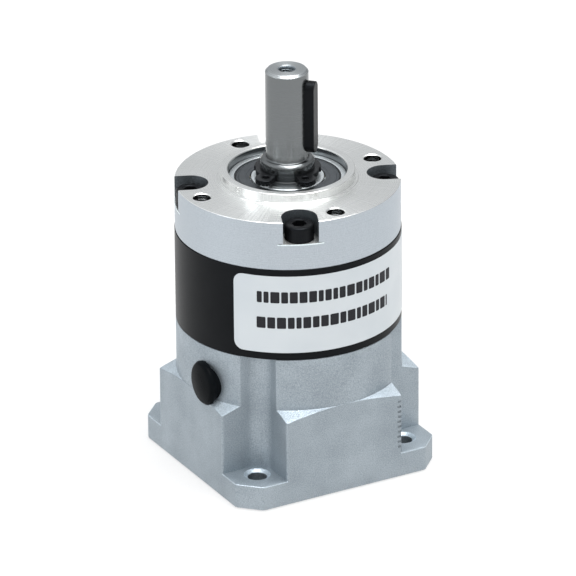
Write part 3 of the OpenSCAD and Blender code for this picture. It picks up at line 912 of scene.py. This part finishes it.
# hole threads use the dark bore copy: painted shade
threads = [thread_wall("t", 1.6, 1.95, 0.7, FACE - 8, FACE - 0.42, M_BORE_SHADE,
                       place(spin=90 * k) @ place(BOLT_R)) for k in range(4)]
done(join("flange_threads", threads), "housing", None)


# ---------- screws ----------

def cap_screw(name, at, length, mats):
    r = 2.72

    def knurl(a, rr, z):
        return -0.055 * (0.5 + 0.5 * math.cos(a * 36)) if 0.25 < z < 2.45 and rr > 2.6 else 0.0

    ring_p = [(1.2, 0.0), (r - 0.15, 0.0), (r, 0.15), (r, 0.26), (r, 0.9), (r, 1.6), (r, 2.3), (r, 2.5)]
    ring_p += [(r - 0.42 * (1 - math.cos(t)), 2.58 + 0.42 * math.sin(t))
               for t in np.linspace(0.15, math.pi / 2, 6)]
    ring_p += [(1.75, 3.0), (1.66, 2.94), (1.6, 2.6), (1.6, 1.2)]
    head = revolve("h", ring_p, mats, 144, ripple=knurl)
    hexa = circle(1.44, 6)
    fine = []
    for k in range(6):
        a, b = hexa[k], hexa[(k + 1) % 6]
        fine += [(a[0] + (b[0] - a[0]) * f, a[1] + (b[1] - a[1]) * f) for f in (0.0, 0.06, 0.5, 0.94)]
    socket = prism("s", circle(1.68, 48), 1.0, 2.93, 0.0, mats, seg=1, holes=[fine])
    floor = revolve("f", [(0, 0.9), (1.6, 0.9), (1.6, 1.3), (1.1, 1.3), (0, 1.0)], mats, 48)
    line = [(0, -length), (1.1, -length), (1.49, -length + 0.5), (1.49, 0.2), (0, 0.2)]
    shank = revolve("k", fillet(line, 0.02, 2), mats, 48)
    ob = join(name, [head, socket, floor, shank])
    ob.data.transform(Matrix.Scale(MM, 4) @ at @ Matrix.Scale(1 / MM, 4))
    return weigh(ob, 30)


for i in range(4):
    at = place(spin=SLOT_TURN + 90 * i) @ place(BOLT_R, 0, SEAT) @ place(spin=17 + 31 * i)
    done(cap_screw(f"cap_screw_{i + 1}", at, 30, M_SCREW), "housing", f"housing_screw_{i + 1}")


# ---------- front bearing ----------

line = [(9.85, B0), (11.0, B0), (11.0, B1), (9.85, B1), (9.85, B1 - 0.8), (9.2, B1 - 0.8),
        (9.2, B0 + 0.8), (9.85, B0 + 0.8)]
line = fillet(line, [0.1, 0.25, 0.3, 0.12, 0, 0.1, 0.1, 0], 5)
outer = revolve("bearing_outer_race", line, M_RACE, 256)
done(outer, "housing", "front_bearing_outer")
line = fillet([(5.0, B0), (6.75, B0), (6.75, B1), (5.0, B1)], [0.2, 0.12, 0.14, 0.22], 5)
inner = revolve("bearing_inner_race", line, M_RACE, 192)
done(inner, "output", "front_bearing_inner")
T = B1 - 0.12
line = [(6.95, T - 0.35), (9.56, T - 0.42), (9.56, T - 0.02), (9.44, T - 0.02), (9.34, T - 0.14),
        (9.1, T - 0.14), (8.98, T), (7.75, T), (7.62, T - 0.1), (7.36, T - 0.1), (7.24, T - 0.02),
        (7.02, T - 0.02), (6.95, T - 0.15)]
seal = revolve("bearing_front_seal", fillet(line, 0.05, 3), M_SEAL, 256)
# near-black ring under the seal's outer edge: painted shade in the gap
lip = revolve("s", [(9.5, T - 0.5), (9.84, T - 0.5), (9.84, T - 0.42), (9.5, T - 0.42)], M_GAP_SHADE, 192)
seal = join("bearing_front_seal", [seal, lip])
done(seal, "housing", "front_bearing_seal")

# ---------- shaft, key, shim, retaining ring ----------

def build_shaft():
    z_end = SHAFT_TOP
    prof = [(1.5, z_end - 10), (1.5, z_end - 0.2), (1.7, z_end), (3.55, z_end), (4.0, z_end - 0.45),
            (4.0, 59.6), (4.6, 59.6), (5.0, 59.2), (5.0, 57.55), (4.8, 57.55), (4.8, 56.45),
            (5.0, 56.45), (5.0, B0), (6.0, B0), (6.0, 45.0), (6.8, 45.0), (6.8, 44.8), (13.0, 44.8),
            (13.0, 42.8), (0.0, 42.8), (0.0, z_end - 11)]
    rad = [0, 0.08, 0.08, 0.1, 0.1, 0.22, 0.08, 0.08, 0.03, 0, 0, 0.03, 0, 0.1, 0, 0.05, 0.05, 0.2,
           0.2, 0, 0]
    ob = revolve("shaft_body", fillet(prof, rad, 4), [M_SHAFT, M_END_LIT, M_HOLE_SHADE], 192)
    key = arc(1.5, -math.pi / 2, math.pi / 2, 17, 5.5) + arc(1.5, math.pi / 2, 1.5 * math.pi, 17, -5.5)
    to_side = (place(spin=KEY_TURN) @ Matrix.Translation((0, 0, SHAFT_TOP - 9))
               @ Matrix.Rotation(math.pi / 2, 4, "Y"))
    pocket = [(x, y * 1.012) for x, y in key]
    cut(ob, [prism("c", pocket, 2.5, 9, 0.0, M_SHAFT, at=to_side, seg=1)])
    posts = []
    for k in range(3):
        posts.append(revolve("p", [(0, 33.8), (1.9, 33.8), (1.9, 42.9), (0, 42.9)], M_SHAFT, 48,
                             at=place(spin=60 + 120 * k) @ place(11)))
    for p in ob.data.polygons:
        c = p.center / MM
        r = math.hypot(c.x, c.y)
        # at the end: face and chamfer get the lighter end copy (painted light from above), the hole mouth
        # the darker hole copy (painted shade)
        if c.z > z_end - 0.5:
            p.material_index = 1 if r > 1.6 else 2
        # down the tapped hole: the darker hole copy, painted shade
        elif r < 1.6 and c.z > z_end - 9.9:
            p.material_index = 2
    ob = join("output_shaft_body", [ob, *posts])
    weigh(ob, 32)
    key_ob = prism("output_key_bar", key, 2.52, 5.5, 0.16, M_KEY, at=to_side, seg=4)
    weigh(key_ob, 40)
    # the thread sleeve uses the darker hole copy: painted shade
    thread = thread_wall("shaft_thread", 1.27, 1.49, 0.5, z_end - 9.9, z_end - 0.25, M_HOLE_SHADE, place())
    return ob, key_ob, thread


shaft, key_ob, shaft_thread = build_shaft()
done(shaft, "output", "output_shaft")
done(key_ob, "output", "output_key")
done(shaft_thread, "output", None)
z0, z1 = S1[0] + 0.01, S1[1] - 0.01
line = fillet([(5.02, z0), (5.45, z0), (5.45, z1), (5.02, z1)], 0.08, 3)
# the shim uses the very dark steel: painted shade under the clip
shim = revolve("shim_ring", line, M_SHIM_SHADE, 128)
done(shim, "output", "shaft_shim")


def clip_outline():
    """External retaining ring: eccentric band that thickens away from the gap, with two lugs."""
    out = []
    gap, lug = 1.75, math.radians(35)
    inner_r = 4.82
    for t in np.linspace(math.radians(22), math.radians(338), 200):
        d = math.cos(t - math.pi)
        r = 5.95 + 0.45 * (0.5 + 0.5 * d)
        for s in (lug, TAU - lug):
            cx, cy = 6.35 * math.cos(s), 6.35 * math.sin(s)
            u = cx * math.cos(t) + cy * math.sin(t)
            h = u * u - cx * cx - cy * cy + 1.93 ** 2
            if h > 0:
                edge = u + math.sqrt(h)
                r = -smin(-r, -edge, 0.7)
        if math.cos(t) > 0:
            r = smin(r, 5.85 / max(0.05, abs(math.sin(t))), 0.4)
        out.append((r * math.cos(t), r * math.sin(t)))
    pts = [p for p in out if not (p[0] > 0 and abs(p[1]) < gap)]
    half = math.asin(gap / inner_r)
    return pts + arc(inner_r, TAU - half, half, 120)


LUG_TURN = math.radians(35)
lugs = [circle(0.7, 24, 6.3 * math.cos(s * LUG_TURN), 6.3 * math.sin(s * LUG_TURN)) for s in (-1, 1)]
clip = prism("retaining_ring", clip_outline(), C1[0], C1[1], 0.09, M_CLIP, at=place(spin=CLIP_TURN),
             seg=3, holes=lugs)
done(weigh(clip, 40), "output", "shaft_circlip")

# ---------- access plug ----------

def build_plug():
    cy, cz = (PLUG[0].y + PLUG[1].y) / 2 / MM, (PLUG[0].z + PLUG[1].z) / 2 / MM
    r = (PLUG[1].y - PLUG[0].y) / 2 / MM
    prof = [(0, -5.9), (3.2, -5.9), (3.45, -5.6), (3.45, 0.0), (r - 0.04, 0.0), (r, 0.08), (r, 0.5)]
    prof += [(r - 0.8 * (1 - math.cos(t)), 0.5 + 0.78 * math.sin(t))
             for t in np.linspace(0.1, math.pi / 2 - 0.25, 10)]
    prof += [(2.75, 1.37), (2.0, 1.49), (1.2, 1.57), (0.5, 1.605), (0, 1.61)]
    at = (Matrix.Translation((PLUG[0].x / MM + PLUG_HEAD, cy, cz))
          @ Matrix.Rotation(-math.pi / 2, 4, "Y"))
    return revolve("side_plug", prof, M_PLUG, 128, smooth=40, at=at)


done(build_plug(), "plug", "access_plug")

# ---------- carried-over nodes get their own node materials ----------

PAINT = {
    "rear_o_ring": M_SEAL, "front_o_ring": M_SEAL, "front_bearing_rear_seal": M_SEAL,
    "carrier_cover": M_GEAR, "input_shaft": M_GEAR, "clamp_ring": M_GEAR, "clamp_screw": M_SCREW,
    "carrier_screws": M_SCREW, "input_circlip": M_CLIP,
}
for name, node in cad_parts.items():
    m = PAINT.get(name)
    if m is None:
        if name.startswith("planet_gear"):
            m = M_GEAR
        elif name.startswith("thrust"):
            m = M_WASHER
        elif name.endswith("cage"):
            m = M_CAGE
        else:
            m = M_RACE
    node.data.materials.clear()
    node.data.materials.append(m)

# ---------- floor, light and camera ----------

def floor_mat():
    k = Mat("pale_floor", 0.9, 0.0, Specular_IOR_Level=0.0)
    n = k.noise(300.0, 2)
    k.colour(k.ramp(n, [(0.3, (0.215, 0.215, 0.215)), (0.7, (0.225, 0.225, 0.225))]))
    k.b.inputs["Emission Color"].default_value = (1, 1, 1, 1)
    k.b.inputs["Emission Strength"].default_value = 0.68
    return k.m


floor_z = CAD[0].z - 0.0002
me = bpy.data.meshes.new("floor_sheet")
s = 6.0
me.from_pydata([(-s, -s, floor_z), (s, -s, floor_z), (s, s, floor_z), (-s, s, floor_z)], [],
               [(0, 1, 2, 3)])
floor = bpy.data.objects.new("floor_sheet", me)
me.materials.append(floor_mat())
scene.collection.objects.link(floor)

world = bpy.data.worlds.new("studio")
scene.world = world
world.use_nodes = True
wt = world.node_tree
bg = wt.nodes["Background"]
wd = wt.nodes.new("ShaderNodeTexCoord")
ws = wt.nodes.new("ShaderNodeSeparateXYZ")
wt.links.new(wd.outputs["Generated"], ws.inputs[0])
wr = wt.nodes.new("ShaderNodeMapRange")
wr.interpolation_type = "SMOOTHSTEP"
for i, v in enumerate((-0.05, 0.5, 0.28, 0.8)):
    wr.inputs[i + 1].default_value = v
wt.links.new(ws.outputs[2], wr.inputs[0])
bg.inputs["Color"].default_value = (0.95, 0.975, 1.0, 1)
wm = wt.nodes.new("ShaderNodeMath")
wm.operation = "MULTIPLY_ADD"
wm.inputs[1].default_value, wm.inputs[2].default_value = -0.3, 1.0
wt.links.new(ws.outputs[0], wm.inputs[0])
wx = wt.nodes.new("ShaderNodeMath")
wx.operation = "MULTIPLY"
wt.links.new(wr.outputs[0], wx.inputs[0])
wt.links.new(wm.outputs[0], wx.inputs[1])
wt.links.new(wx.outputs[0], bg.inputs["Strength"])


def area(name, loc, target, size, size_y, power, colour=(1, 1, 1)):
    d = bpy.data.lights.new(name, "AREA")
    d.shape = "RECTANGLE"
    d.size, d.size_y, d.energy, d.color = size, size_y, power, colour
    o = bpy.data.objects.new(name, d)
    scene.collection.objects.link(o)
    o.location = loc
    o.rotation_euler = (Vector(target) - Vector(loc)).to_track_quat("-Z", "Y").to_euler()
    return o


CENTRE = (0, 0, 0.045)
area("top_soft", (0.05, -0.1, 0.75), CENTRE, 0.6, 0.6, 9.0)
area("left_soft", (-0.85, 0.05, 0.3), CENTRE, 0.3, 0.5, 1.0, (0.92, 0.96, 1.0))

AZ, EL, ROLL = -28.999, 24.526, -0.463
DIST, FOCAL = 1.2453, 6710.76 / 576 * 36.0
az, el, roll = (math.radians(v) for v in (AZ, EL, ROLL))
back = Vector((math.sin(az) * math.cos(el), -math.cos(az) * math.cos(el), math.sin(el)))
right = Vector((math.cos(az), math.sin(az), 0))
up = back.cross(right)
target = Vector((0, 0, 32.884 * MM)) + right * (-0.089 * MM)
cx = right * math.cos(roll) + up * math.sin(roll)
cy = -right * math.sin(roll) + up * math.cos(roll)
cam_data = bpy.data.cameras.new("camera")
cam_data.sensor_width = 36
cam_data.lens = FOCAL
cam_data.clip_start, cam_data.clip_end = 0.05, 50
cam = bpy.data.objects.new("camera", cam_data)
scene.collection.objects.link(cam)
rot = Matrix((cx, cy, back)).transposed().to_4x4()
cam.matrix_world = Matrix.Translation(target + back * DIST) @ rot
scene.camera = cam
scene.view_settings.view_transform = "Standard"
